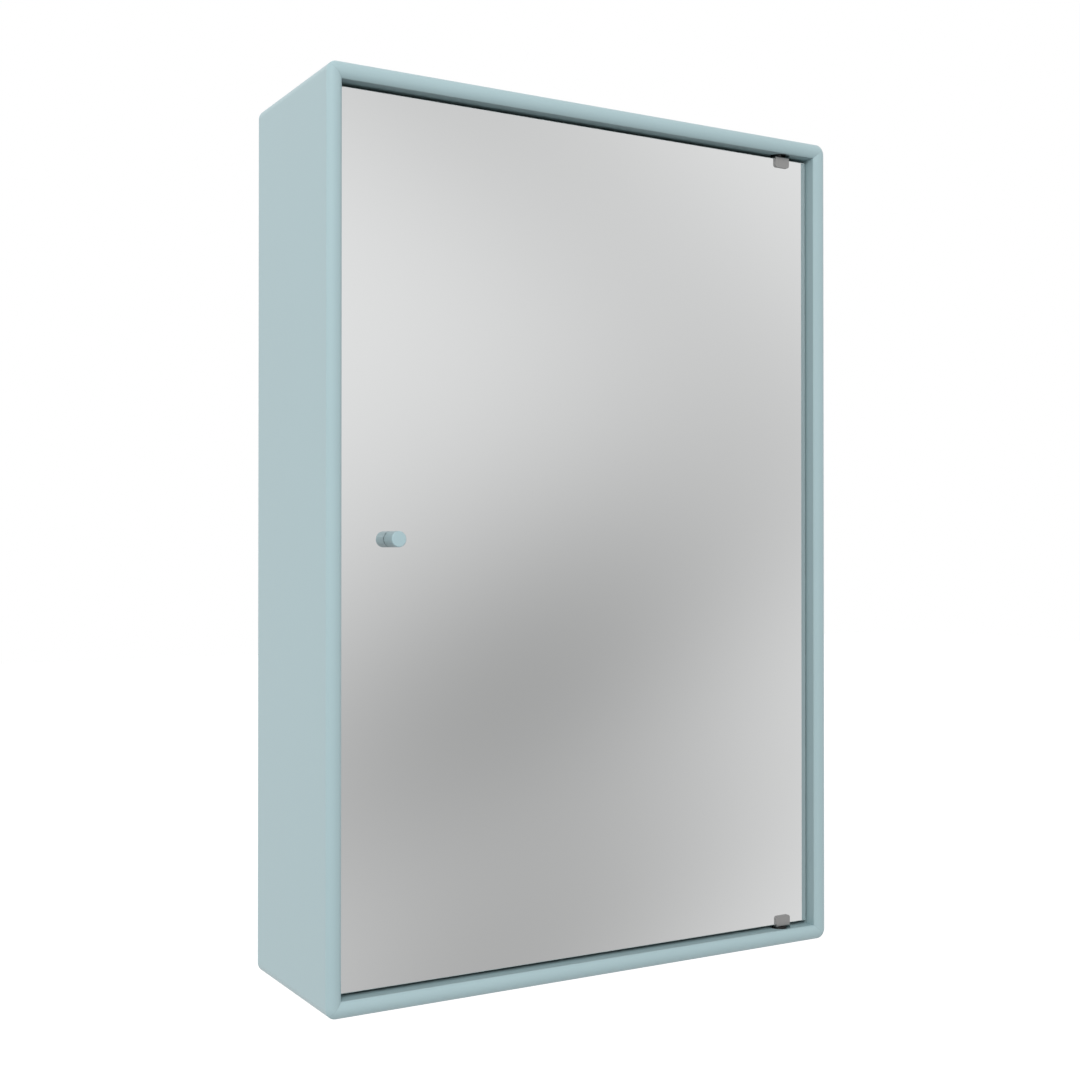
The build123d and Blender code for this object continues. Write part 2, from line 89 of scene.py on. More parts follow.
def feed(owner, node, name, socket):
    """Links a socket to one of the node's inputs."""
    owner.node_tree.links.new(socket, node.inputs[name])


print("pale blue-green lacquer in linear light:", linear("#AFC9CE"))


# %% Arithmetic, blends and patterns
def calculate(owner, operation, *values, **settings):
    """One step of arithmetic on sockets or numbers."""
    inputs = dict(enumerate(values))
    return add_node(owner, "Math", inputs, operation=operation, **settings).outputs[0]


def blend(material, share, first, second):
    """A colour between two others, by a share from 0 to 1."""
    inputs = {"Factor": share, "A": first, "B": second}
    return add_node(material, "Mix", inputs, data_type="RGBA").outputs["Result"]


def spread(material, share, low, high):
    """Stretches a share from 0 to 1 over the range from low to high."""
    inputs = {"Value": share, "To Min": low, "To Max": high}
    return add_node(material, "MapRange", inputs).outputs["Result"]


def noise(material, place, size, **more):
    """Soft noise from 0 to 1 whose spots are about one size across, in metres."""
    inputs = {"Vector": place, "Scale": 1 / size, **more}
    return add_node(material, "TexNoise", inputs).outputs["Fac"]


def relief(material, shader, pattern, depth, strength):
    """Lets a pattern stand out of the surface by a depth in metres."""
    inputs = {"Height": pattern, "Distance": depth, "Strength": strength}
    feed(material, shader, "Normal", add_node(material, "Bump", inputs).outputs["Normal"])


# %% [markdown]
# ## The lacquer
# The boards are MDF, sprayed with a satin pale blue-green lacquer. Sprayed lacquer is never
# quite flat: it dries to a fine orange peel with bumps about a millimetre wide and a few
# microns high, and its gloss drifts a little from place to place. Noise on the Object
# coordinates gives both, because it stays where it is when the camera or a joint moves.
# Under the lacquer the mitre joints show as a hairline. It is worked out from the place too:
# on a mitre, a point is as far from the cabinet's side as it is from the top or bottom.

# %% Satin lacquer on MDF
half_width = 234 * mm
half_height = 348 * mm
peel_size = 1.6 * mm
peel_depth = 0.012 * mm
drift_size = 90 * mm
mitre_hairline = 0.14 * mm
hairline_share = 0.35
satin_gloss = (0.36, 0.44)
coat_share, coat_blur = 0.15, 0.3


def mitre_line(material, place):
    """1 on the hairlines of the four mitres and 0 elsewhere."""
    parts = add_node(material, "SeparateXYZ", {"Vector": place}).outputs
    out = calculate(material, "ABSOLUTE", parts["X"])
    rise = calculate(material, "SUBTRACT", parts["Z"], half_height)
    up = calculate(material, "ABSOLUTE", rise)
    lead = calculate(material, "SUBTRACT", up, out)
    return calculate(material, "COMPARE", lead, half_height - half_width, mitre_hairline)


def lacquer(name, pale, deep, mitred):
    """Sprayed satin lacquer: slight drift in tone and gloss, fine orange peel."""
    material, shader, place = new_material(name)
    drift = noise(material, place, drift_size)
    colour = blend(material, drift, linear(deep), linear(pale))
    if mitred:
        line = calculate(material, "MULTIPLY", mitre_line(material, place), hairline_share)
        colour = blend(material, line, colour, linear("#6F8489"))
    feed(material, shader, "Base Color", colour)
    feed(material, shader, "Roughness", spread(material, drift, *satin_gloss))
    peel = noise(material, place, peel_size, Detail=1.0)
    relief(material, shader, peel, peel_depth, strength=0.6)
    shader.inputs["Coat Weight"].default_value = coat_share
    shader.inputs["Coat Roughness"].default_value = coat_blur
    return material


board_lacquer = lacquer("satin lacquer on mitred MDF", "#AFC9CE", "#ABC5CA", mitred=True)
panel_lacquer = lacquer("satin lacquer on back panel", "#AFC9CE", "#ABC5CA", mitred=False)
knob_finish = lacquer("satin lacquer on turned aluminium", "#B0CBD1", "#ACC7CD", mitred=False)
print(board_lacquer.name, "with an orange peel of", peel_size / mm, "mm")

# %% [markdown]
# ## The mirror
# A mirror is float glass with silver on its back. Seen from the front it reflects nearly all
# the light. Here the front face itself is the silver, which keeps the reflection clean and
# joined to the knob, as it looks from a step away. Wiping leaves faint broad marks, so the
# roughness drifts very slightly. The edges are ground glass, greenish. The narrow ground arris
# is near white. That is partly the pale frost of ground glass and partly a painted highlight:
# the thin bright line that light gives along the mirror's edge. The back is the grey paint that
# seals the silver.

# %% Silver, glass edge, arris and backing paint
wipe_size = 140 * mm
wipe_haze = 0.025
speck_swing = 0.06


def silvered_glass():
    """Polished silver behind glass, with faint wiping marks in the gloss."""
    material, shader, place = new_material("silvered float glass")
    shader.inputs["Base Color"].default_value = linear("#F4F5F5")
    shader.inputs["Metallic"].default_value = 1.0
    wipes = noise(material, place, wipe_size, Distortion=1.5)
    feed(material, shader, "Roughness", spread(material, wipes, 0.0, wipe_haze))
    return material


def speckled(name, light, dark, speck, roughness, height, metallic=0.0, stretch=(1, 1, 1)):
    """A finish of fine specks or strokes: two close tones, with the same pattern as relief."""
    material, shader, place = new_material(name)
    drawn = add_node(material, "Mapping", {"Vector": place, "Scale": stretch})
    specks = noise(material, drawn.outputs["Vector"], speck, Detail=3.0)
    feed(material, shader, "Base Color", blend(material, specks, linear(dark), linear(light)))
    sheen = spread(material, specks, roughness - speck_swing, roughness + speck_swing)
    feed(material, shader, "Roughness", sheen)
    relief(material, shader, specks, height, strength=0.5)
    shader.inputs["Metallic"].default_value = metallic
    return material


silver = silvered_glass()
glass_edge = speckled(
    "ground glass edge", "#A9BDB6", "#8FA8A0", speck=0.5 * mm, roughness=0.35, height=0.01 * mm
)
# The arris is near white: the frost of ground glass, plus a painted highlight along the mirror's
# edge.
arris_frost_and_painted_highlight = speckled(
    "ground arris and painted highlight", "#F4F8F7", "#E6EEEC", speck=0.5 * mm, roughness=0.3, height=0.01 * mm
)
backing_paint = speckled(
    "mirror backing paint", "#8C9492", "#7C8583", speck=6 * mm, roughness=0.55, height=0.01 * mm
)
print("mirror finishes:", silver.name, "|", glass_edge.name, "|", backing_paint.name)

# %% [markdown]
# ## Metals
# The clips are zinc castings with satin nickel: a soft blur with a hint of fine brushing, which
# is noise drawn out along X. The pins are turned steel, with rings too fine to see one by one.
# Screws, hangers and the strike plate are zinc-plated, which is bluish and a little blotchy,
# because the zinc grows in crystals. The shelf pegs are bright nickel. Metals differ mostly in
# how blurred they reflect.


# %% Plated metals
def metal(name, light, dark, speck, roughness, height, stretch=(1, 1, 1)):
    """A speckled finish on bare or plated metal."""
    return speckled(name, light, dark, speck, roughness, height, 1.0, stretch)


clip_nickel = metal(
    "satin nickel on zinc casting",
    "#ADACAB",
    "#9F9F9E",
    speck=0.35 * mm,
    roughness=0.34,
    height=0.006 * mm,
    stretch=(0.2, 1, 1),
)
turned_steel = metal(
    "turned steel", "#B9B9BA", "#A6A6A8", speck=0.3 * mm, roughness=0.3, height=0.004 * mm
)
zinc_plate = metal(
    "bright zinc plate", "#C9CCD0", "#AEB3B9", speck=3.5 * mm, roughness=0.3, height=0.004 * mm
)
peg_nickel = metal(
    "bright nickel plate", "#D2D0CC", "#C6C4C0", speck=0.8 * mm, roughness=0.16, height=0.002 * mm
)
for finish in (clip_nickel, turned_steel, zinc_plate, peg_nickel):
    print("metal:", finish.name)

# %% [markdown]
# ## Plastics, rubber, ferrite and wood
# Moulded parts have the fine spark texture of their mould. The liner in the clips is soft grey
# rubber, the bushes are black nylon, and the catch is pale grey.
# Ferrite is pressed from powder, so it is grainy and almost black. The splines in the mitres
# are birch plywood, whose plies show as stripes across their thickness.

# %% Moulded and pressed finishes
liner_rubber = speckled(
    "moulded grey rubber", "#B2B2B2", "#A6A6A6", speck=0.4 * mm, roughness=0.6, height=0.01 * mm
)
bush_nylon = speckled(
    "moulded black nylon", "#303030", "#262626", speck=0.7 * mm, roughness=0.45, height=0.01 * mm
)
catch_grey = speckled(
    "moulded pale grey plastic",
    "#DFE1E0",
    "#D3D6D5",
    speck=0.6 * mm,
    roughness=0.5,
    height=0.015 * mm,
)
ferrite = speckled(
    "sintered ferrite", "#4A4A4C", "#333335", speck=0.25 * mm, roughness=0.6, height=0.01 * mm
)
film_grey = speckled(
    "grey safety film", "#C4C8CA", "#B8BCBF", speck=2.5 * mm, roughness=0.5, height=0.02 * mm
)
birch_ply = speckled(
    "birch plywood",
    "#D9C29B",
    "#B5946A",
    speck=1.2 * mm,
    roughness=0.6,
    height=0.02 * mm,
    stretch=(1, 0.05, 1),
)
for finish in (liner_rubber, bush_nylon, catch_grey, ferrite, film_grey, birch_ply):
    print("finish:", finish.name)

# %% [markdown]
# ## Clear materials
# The shelves are clear float glass. Iron in the glass makes it green where one looks along it,
# so light loses red on its way through. An absorbing volume inside the glass does that by
# itself: thin ways stay clear and the long way to an edge turns green. The grommet round the
# knob's screw is clear silicone, softer and cloudier, so it scatters the light a little.

# %% Float glass and silicone
mark_haze = 0.02
glass_density = 3.0


def clear(name, tint, ior, roughness, mark_size):
    """A clear material with faint marks in its gloss."""
    material, shader, place = new_material(name)
    shader.inputs["Base Color"].default_value = linear(tint)
    shader.inputs["Transmission Weight"].default_value = 1.0
    shader.inputs["IOR"].default_value = ior
    marks = noise(material, place, mark_size)
    feed(material, shader, "Roughness", spread(material, marks, roughness, roughness + mark_haze))
    return material


float_glass = clear("clear float glass", "#F6FBF9", ior=1.52, roughness=0.0, mark_size=60 * mm)
absorbed = add_node(
    float_glass, "VolumeAbsorption", {"Color": linear("#7FD8B8"), "Density": glass_density}
)
glass_end = float_glass.node_tree.nodes["Material Output"]
feed(float_glass, glass_end, "Volume", absorbed.outputs["Volume"])
silicone = clear("clear silicone", "#EDF1F1", ior=1.41, roughness=0.25, mark_size=2 * mm)
print("clear materials:", float_glass.name, "|", silicone.name)

# %% [markdown]
# ## Helpers for modelling
# Each piece starts as a primitive at its size and place and is then shaped in edit mode. An
# operator acts on all that is selected, so everything is deselected first, and edges and faces
# are chosen by where they are or which way they look. When a piece is done, its place is moved
# into its mesh, so that its object stays at the origin like the CAD pieces do.


# %% Primitives at their place
def deselect_all():
    """Leaves edit mode and deselects every object."""
    if bpy.context.mode != "OBJECT":
        bpy.ops.object.mode_set(mode="OBJECT")
    bpy.ops.object.select_all(action="DESELECT")


def pick(piece):
    """Makes the piece the only selected one."""
    deselect_all()
    piece.select_set(True)
    bpy.context.view_layer.objects.active = piece


def placed(name):
    """Names the new primitive and moves its place, turn and size into its mesh."""
    piece = bpy.context.active_object
    piece.name = piece.data.name = name
    bpy.ops.object.transform_apply(location=True, rotation=True, scale=True)
    return piece


def add_box(name, low, high):
    """A box between two corners in millimetres."""
    deselect_all()
    middle = [(a + b) / 2 * mm for a, b in zip(low, high)]
    bpy.ops.mesh.primitive_cube_add(size=1, location=middle)
    bpy.context.active_object.scale = [(b - a) * mm for a, b in zip(low, high)]
    return placed(name)


rod_turns = {"X": (0, radians(90), 0), "Y": (radians(90), 0, 0), "Z": (0, 0, 0)}


def add_rod(name, middle, length, radius, axis, sides=64):
    """A round rod about its middle, in millimetres, along X, Y or Z."""
    deselect_all()
    bpy.ops.mesh.primitive_cylinder_add(
        vertices=sides,
        radius=radius * mm,
        depth=length * mm,
        location=[v * mm for v in middle],
        rotation=rod_turns[axis],
    )
    return placed(name)


# %% Choosing edges and faces
near = 0.01  # millimetres, for finding an edge by its place
facing, side_on = 0.9, 0.3  # how much of a normal looks along an axis


def select_edges(piece, wanted):
    """Opens edit mode with the edges selected whose two ends, in millimetres, are wanted."""
    pick(piece)
    bpy.ops.object.mode_set(mode="EDIT")
    bpy.ops.mesh.select_mode(type="EDGE")
    bpy.ops.mesh.select_all(action="DESELECT")
    bpy.ops.object.mode_set(mode="OBJECT")
    points = [v.co / mm for v in piece.data.vertices]
    for edge in piece.data.edges:
        edge.select = wanted(*[points[i] for i in edge.vertices])
    bpy.ops.object.mode_set(mode="EDIT")


def select_faces(piece, wanted):
    """Opens edit mode with the faces selected whose middle, in millimetres, and normal fit."""
    pick(piece)
    bpy.ops.object.mode_set(mode="EDIT")
    bpy.ops.mesh.select_mode(type="FACE")
    bpy.ops.mesh.select_all(action="DESELECT")
    bpy.ops.object.mode_set(mode="OBJECT")
    for face in piece.data.polygons:
        face.select = wanted(face.center / mm, face.normal)
    bpy.ops.object.mode_set(mode="EDIT")


def bevel_edges(piece, wanted, width, steps):
    """Rounds the wanted edges in several steps, or chamfers them in one."""
    select_edges(piece, wanted)
    bpy.ops.mesh.bevel(offset=width * mm, segments=steps, profile=0.5, affect="EDGES")
    deselect_all()


def mirror_over(piece, factors, middle=(0, 0, 0)):
    """Turns a piece into its mirror image about a middle in millimetres."""
    pick(piece)
    bpy.ops.object.mode_set(mode="EDIT")
    bpy.ops.mesh.select_all(action="SELECT")
    bpy.ops.transform.resize(
        value=factors, center_override=[v * mm for v in middle], orient_type="GLOBAL"
    )
    bpy.ops.mesh.normals_make_consistent(inside=False)
    deselect_all()


# %% Modifiers that are applied
sharp_angle = radians(35)
through = 8  # millimetres, longer than any hole that a rod cuts
slight = 0.2  # millimetres, the rounding of a small metal edge


def apply_modifier(piece, kind, **settings):
    """Adds a modifier with its settings and applies it."""
    pick(piece)
    modifier = piece.modifiers.new(kind.lower(), kind)
    for setting, value in settings.items():
        setattr(modifier, setting, value)
    bpy.ops.object.modifier_apply(modifier=modifier.name)


def cut_away(piece, cutter):
    """Takes the cutter's shape out of the piece."""
    apply_modifier(piece, "BOOLEAN", operation="DIFFERENCE", object=cutter, solver="EXACT")
    bpy.data.objects.remove(cutter)


def join_solid(piece, other):
    """Makes one solid of the two."""
    apply_modifier(piece, "BOOLEAN", operation="UNION", object=other, solver="EXACT")
    bpy.data.objects.remove(other)


def ease(piece, width, steps=2):
    """Rounds every sharp edge a little, as moulding, plating or polishing does."""
    apply_modifier(
        piece,
        "BEVEL",
        width=width * mm,
        segments=steps,
        limit_method="ANGLE",
        angle_limit=sharp_angle,
    )


def smooth(piece):
    """Smooth shading on the rounded parts, while the flat faces stay flat."""
    pick(piece)
    bpy.ops.object.shade_smooth_by_angle(angle=sharp_angle)
    apply_modifier(piece, "WEIGHTED_NORMAL", keep_sharp=True)


def dress(piece, body, node, material):
    """Gives a finished piece its body, the CAD piece that it stands for, and its finish."""
    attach(piece, body)
    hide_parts(node)
    piece.data.materials.clear()
    piece.data.materials.append(material)
    print(piece.name, "stands for", node, "with", len(piece.data.polygons), "faces")


# %% [markdown]
# ## The mirror door
# The mirror is one pane of 4 mm glass, 440 mm by 666 mm, with a hole for the knob's screw. Its
# four front and four rear edges are ground to a narrow arris. A box is beveled along its edges,
# a rod cuts the hole, and the faces then get one of four finishes by the way they look: silver
# to the front, paint to the back, glass at the rim, and the arris between them.

# %% Mirror glass
door_low = (-220, -136, 15)
door_high = (220, -132, 681)
door_mid_y = -134
knob_x, knob_z = -179, 348
knob_hole_radius = 3
arris = 0.6

mirror_pane = add_box("mirror_pane", door_low, door_high)
bevel_edges(mirror_pane, lambda a, b: abs(a.y - b.y) < near, arris, steps=1)
hole_place = (knob_x, door_mid_y, knob_z)
cut_away(mirror_pane, add_rod("knob_hole", hole_place, through, knob_hole_radius, "Y", sides=48))
dress(mirror_pane, "door", "mirror_glass", silver)
for finish in (glass_edge, arris_frost_and_painted_highlight, backing_paint):
    mirror_pane.data.materials.append(finish)
edge_slot, arris_slot, paint_slot = 1, 2, 3
for face in mirror_pane.data.polygons:
    if face.normal.y > facing:
        face.material_index = paint_slot
    elif abs(face.normal.y) < side_on:
        face.material_index = edge_slot
    # The arris faces get the near-white finish that carries the painted highlight.
    elif abs(face.normal.y) < facing:
        face.material_index = arris_slot

# %% [markdown]
# ## The pivot clips
# Each clip is a small U that grips the edge of the glass. Its front plate is what one sees. A
# box is cut open from its free end, then its two bends and the corners of its plates are
# rounded, and at last every edge is eased, because a plated casting has no sharp edge. The
# lower clip is the upper one's mirror image, so the same steps make both.

# %% Hinge clips
height = 696
clip_x = (185.5, 200.5)
clip_y = (-137.8, -127.0)
clip_z = (673.5, 683.1)
clip_front, clip_back, clip_web = 1.4, 3.0, 1.7
clip_bend, clip_corner, clip_ease = 1.2, 2.2, 0.22
past = 1  # millimetres, how far the cutter stands out of the clip
pivot_x = 193
clip_screw_z = 677.25
thread_radius = 2.0


def hinge_clip(name, upper):
    """A U-shaped clip over the upper or lower edge of the glass."""
    low_z, high_z = clip_z
    clip = add_box(name, (clip_x[0], clip_y[0], low_z), (clip_x[1], clip_y[1], high_z))
    gap = add_box(
        "clip_gap",
        (clip_x[0] - past, clip_y[0] + clip_front, low_z - past),
        (clip_x[1] + past, clip_y[1] - clip_back, high_z - clip_web),
    )
    cut_away(clip, gap)

    def is_bend(a, b):
        outside = min(abs(a.y - y) for y in clip_y) < near
        return min(a.z, b.z) > high_z - near and abs(a.y - b.y) < near and outside

    def is_corner(a, b):
        return max(a.z, b.z) < low_z + near and abs(a.x - b.x) < near

    bevel_edges(clip, is_bend, clip_bend, steps=5)
    bevel_edges(clip, is_corner, clip_corner, steps=8)
    screw_place = (pivot_x, clip_y[1], clip_screw_z)
    cut_away(clip, add_rod("screw_hole", screw_place, through, thread_radius, "Y", sides=32))
    ease(clip, clip_ease)
    if not upper:
        mirror_over(clip, (1, 1, -1), (0, 0, height / 2))
    smooth(clip)
    return clip


for name, upper in (("hinge_clip_upper", True), ("hinge_clip_lower", False)):
    clip = hinge_clip("cast_" + name, upper)
    dress(clip, "door", name, clip_nickel)

# %% [markdown]
# ## Screws
# The two clips each have a headless screw with a hexagon socket. All the other screws have a
# round head with a cross recess. A recess is easier to cut than to build: a hexagonal rod, or
# a cross of two tapered bars, is taken out of the head. Each kind is modelled once at the
# origin and copied, with its own mesh, to each place.


# %% Socket screws in the clips
def move_into(piece, turn, place):
    """Turns a piece that was made at the origin and moves it to its place in millimetres."""
    pick(piece)
    piece.rotation_euler = turn
    piece.location = [v * mm for v in place]
    bpy.ops.object.transform_apply(location=True, rotation=True, scale=True)


def copy_of(piece, name):
    """A copy with its own mesh."""
    copy = piece.copy()
    copy.data = piece.data.copy()
    copy.name = copy.data.name = name
    scene.collection.objects.link(copy)
    return copy


grub_length, socket_radius = 3.6, 1.15
to_rear = (radians(-90), 0, 0)
grub_middle = (0, 0, -grub_length / 2)
grub = add_rod("grub_screw", grub_middle, grub_length, thread_radius, "Z", sides=32)
ease(grub, slight)
cut_away(grub, add_rod("socket", (0, 0, 0), grub_length, socket_radius, "Z", sides=6))
smooth(grub)
for name, z in (("clip_screw_upper", clip_screw_z), ("clip_screw_lower", height - clip_screw_z)):
    screw = copy_of(grub, name)
    move_into(screw, to_rear, (pivot_x, clip_y[1], z))
    dress(screw, "door", "clip_screws", turned_steel)
bpy.data.objects.remove(grub)

# %% Cross-head screws
drawn_radius = 1.6  # the head's sizes below are those of a screw with this shank
head_size = (3.0, 2.0)
dome, foot_edge, tip = 1.1, 0.12, 0.9
recess_long, recess_wide = 3.0, 0.75
recess_floor, recess_top, recess_taper = 0.9, 3.0, 0.6


def cross_screw(name, shank_radius, shank_length):
    """A domed head on the plane z = 0 with a cross recess, and its shank below."""
    share = shank_radius / drawn_radius
    head_radius, head_height = [size * share for size in head_size]
    head = add_rod(name, (0, 0, head_height / 2), head_height, head_radius, "Z", sides=48)
    bevel_edges(head, lambda a, b: min(a.z, b.z) > head_height - near, dome * share, steps=6)
    bevel_edges(head, lambda a, b: max(a.z, b.z) < near, foot_edge * share, steps=1)
    middle = (0, 0, -shank_length / 2)
    shank = add_rod("shank", middle, shank_length, shank_radius, "Z", sides=32)
    bevel_edges(shank, lambda a, b: max(a.z, b.z) < near - shank_length, tip * share, steps=2)
    join_solid(head, shank)
    for across, along in ((recess_long, recess_wide), (recess_wide, recess_long)):
        bar = add_box(
            "recess_bar",
            (-across / 2 * share, -along / 2 * share, recess_floor * share),
            (across / 2 * share, along / 2 * share, recess_top * share),
        )
        select_faces(bar, lambda middle, normal: normal.z < -facing)
        bpy.ops.transform.resize(value=(recess_taper, recess_taper, 1))
        cut_away(head, bar)
    smooth(head)
    return head


strike_y = (-131.4, -129.9)
knob_bolt = cross_screw("knob_bolt", shank_radius=2.0, shank_length=13.9)
move_into(knob_bolt, to_rear, (knob_x, strike_y[1], knob_z))
dress(knob_bolt, "door", "knob_screw", zinc_plate)

# %% Screws of the catch and the hangers
flange_face_x, catch_mid_y = -219, -118.9
board_screw = cross_screw("board_screw", shank_radius=1.6, shank_length=11.5)
for name, z in (("catch_screw_low", 330.5), ("catch_screw_high", 365.5)):
    screw = copy_of(board_screw, name)
    move_into(screw, (0, radians(90), 0), (flange_face_x, catch_mid_y, z))
    dress(screw, "cabinet", "catch_screws", zinc_plate)
bpy.data.objects.remove(board_screw)

hanger_flange_x, hanger_screw_y = 220, -7.5
side_names = {-1: "left", 1: "right"}
hanger_screw = cross_screw("hanger_screw", shank_radius=1.6, shank_length=10.5)
for side, side_name in side_names.items():
    for z in (646, 672):
        screw = copy_of(hanger_screw, f"hanger_screw_{side_name}_{z}")
        place = (side * hanger_flange_x, hanger_screw_y, z)
        move_into(screw, (0, radians(-90) * side, 0), place)
        dress(screw, "cabinet", "hanger_screws", zinc_plate)
bpy.data.objects.remove(hanger_screw)

# %% [markdown]
# ## The knob
# The knob is a plain round bar, 12 mm across, that stands 15 mm out of the glass. What makes it
# read as turned metal under lacquer is its soft front edge, which catches a thin ring of light.
# A cylinder gets that edge from a bevel with several steps, and a much smaller one at its foot.

# %% Knob
knob_radius, knob_length, knob_mid_y = 6.0, 14.6, -143.7
knob_front = knob_mid_y - knob_length / 2
knob_back = knob_mid_y + knob_length / 2
front_round, foot_round = 0.9, 0.15
knob_middle = (knob_x, knob_mid_y, knob_z)
knob = add_rod("turned_knob", knob_middle, knob_length, knob_radius, "Y", sides=96)
bevel_edges(knob, lambda a, b: max(a.y, b.y) < knob_front + near, front_round, steps=6)
bevel_edges(knob, lambda a, b: min(a.y, b.y) > knob_back - near, foot_round, steps=2)
smooth(knob)
dress(knob, "door", "knob", knob_finish)

# %% [markdown]
# ## The strike plate and the catch
# Behind the glass the knob's screw holds a small steel plate, and a magnetic catch on the left
# side panel pulls it shut. The plate is a box with rounded corners. The catch is a moulded
# block on a flange with rounded ends, and its magnet sits in a pocket between two pole plates.

# %% Strike plate
strike_low, strike_high = (-218, strike_y[0], 340), (-170, strike_y[1], 356)
strike_corner = 3.0
strike = add_box("stamped_strike_plate", strike_low, strike_high)
bevel_edges(strike, lambda a, b: abs(a.y - b.y) > 1, strike_corner, steps=8)
ease(strike, slight)
smooth(strike)
dress(strike, "door", "strike_plate", zinc_plate)

# %% Catch body
board_face_x = -222
catch_low, catch_high = (board_face_x, -129.4, 336), (-206, -112.4, 360)
flange_low, flange_high = (board_face_x, -125.4, 325), (flange_face_x, -112.4, 371)
pocket_low, pocket_high = (-217.2, -131, 339.5), (-210.8, -117.4, 356.5)
catch_corner, flange_corner, moulded_edge = 1.5, 3.0, 0.3


def is_catch_corner(a, b):
    """The two long edges of the block that look into the cabinet."""
    return min(a.x, b.x) > catch_high[0] - near and abs(a.y - b.y) > 1


catch = add_box("moulded_catch", catch_low, catch_high)
bevel_edges(catch, is_catch_corner, catch_corner, steps=5)
flange = add_box("catch_flange", flange_low, flange_high)
bevel_edges(flange, lambda a, b: abs(a.x - b.x) > 1, flange_corner, steps=6)
join_solid(catch, flange)
cut_away(catch, add_box("magnet_pocket", pocket_low, pocket_high))
ease(catch, moulded_edge, steps=3)
smooth(catch)
dress(catch, "cabinet", "catch_body", catch_grey)

# %% [markdown]
# ## Shelves and pegs
# Two loose panes of 5 mm glass lie on four pegs each. A pane is a box whose edges are polished
# to a narrow round. A peg is a rod with a flat filed on the end that stands out of the board,
# so that the glass lies on a flat and not on a line. One peg is modelled and copied eight times.

# %% Glass shelves
shelf_x = 220.8
shelf_y = (-102.16, -19.5)
shelf_thickness = 5
polish = 0.5
for name, body, z in (
    ("shelf_lower", "lower_shelf", 237.5),
    ("shelf_upper", "upper_shelf", 461.5),
):
    pane = add_box(
        "glass_" + name, (-shelf_x, shelf_y[0], z), (shelf_x, shelf_y[1], z + shelf_thickness)
    )
    bevel_edges(pane, lambda a, b: abs(a.z - b.z) < near, polish, steps=3)
    smooth(pane)
    dress(pane, body, name, float_glass)

# %% Shelf pegs
peg_radius, peg_length, peg_mid_x = 2.5, 16, 4
peg_hole_x = 218
flat_low, flat_high = (-5, -3, 1.5), (8, 3, 4)
peg_inset = 16
peg_rows = {"front": shelf_y[0] + peg_inset, "rear": shelf_y[1] - peg_inset}

peg = add_rod("peg", (peg_mid_x, 0, 0), peg_length, peg_radius, "X", sides=32)
cut_away(peg, add_box("flat", flat_low, flat_high))
ease(peg, slight)
for name, z in (("lower", 236), ("upper", 460)):
    for side, side_name in side_names.items():
        for row, y in peg_rows.items():
            one = copy_of(peg, f"peg_{name}_{side_name}_{row}")
            if side < 0:
                mirror_over(one, (-1, 1, 1))
            move_into(one, (0, 0, 0), (side * peg_hole_x, y, z))
            smooth(one)
            dress(one, "cabinet", "shelf_pegs_" + name, peg_nickel)
bpy.data.objects.remove(peg)

# %% [markdown]
# ## Wall hangers
# In the recess behind the back panel two steel angles hang the cabinet on two wall screws. The
# wall screw's head passes the round entry, and the cabinet then drops until the screw sits in
# the slot above it. Each is a plate joined to a narrow flange, with the keyhole cut by a rod
# for the entry and by a bar and a second rod for the slot and its round end.

# %% Keyhole hangers
hanger_z = (634, 684)
plate_x, flange_x = (184, 222), (220, 222)
plate_y, flange_y = (-3, -1), (-11.5, -1)
keyhole_x, entry_z, slot_end_z = 200, 647, 659
keyhole_y, slot_cut_y = -2, (-6, 2)
entry_radius, slot_radius = 5.0, 2.75
plate_ease = 0.25


def wall_strip(name, side, across, depth):
    """A box as high as the hanger, from its span across the wall and its span in depth."""
    low_x, high_x = sorted(side * x for x in across)
    return add_box(name, (low_x, depth[0], hanger_z[0]), (high_x, depth[1], hanger_z[1]))


def keyhole_hanger(side, side_name):
    """The angle at one side, from its plate, its flange and the keyhole's cutters."""
    hanger = wall_strip("keyhole_hanger_" + side_name, side, plate_x, plate_y)
    join_solid(hanger, wall_strip("hanger_flange", side, flange_x, flange_y))
    x = side * keyhole_x
    entry_place, end_place = (x, keyhole_y, entry_z), (x, keyhole_y, slot_end_z)
    cut_away(hanger, add_rod("entry", entry_place, through, entry_radius, "Y", sides=48))
    slot_low = (x - slot_radius, slot_cut_y[0], entry_z - 1)
    slot_high = (x + slot_radius, slot_cut_y[1], slot_end_z)
    cut_away(hanger, add_box("slot", slot_low, slot_high))
    cut_away(hanger, add_rod("slot_end", end_place, through, slot_radius, "Y", sides=32))
    ease(hanger, plate_ease)
    smooth(hanger)
    return hanger


for side, side_name in side_names.items():
    hanger = keyhole_hanger(side, side_name)
    dress(hanger, "cabinet", "hanger_" + side_name, zinc_plate)

# %% [markdown]
# ## Finishes for the CAD pieces that stay
# The boards, the back panel and the small hidden pieces are already right in the CAD model, so
# they keep their meshes and only get a finish in their material slots.

# %% Finish of each CAD piece
kept = {
    "left_side_panel": board_lacquer,
    "right_side_panel": board_lacquer,
    "top_panel": board_lacquer,
    "bottom_panel": board_lacquer,
    "back_panel": panel_lacquer,
    "corner_splines": birch_ply,
    "safety_film": film_grey,
    "clip_liner_upper": liner_rubber,
    "clip_liner_lower": liner_rubber,
    "pressure_plate_upper": turned_steel,
    "pressure_plate_lower": turned_steel,
    "hinge_pins": turned_steel,
    "hinge_bushes": bush_nylon,
    "hinge_washer": bush_nylon,
    "knob_grommet": silicone,
    "catch_magnet": ferrite,
    "catch_poles": zinc_plate,
}
for name, finish in kept.items():
    solid = nodes[name]
    solid.data.materials.clear()
    solid.data.materials.append(finish)
print("finished", len(kept), "CAD pieces")

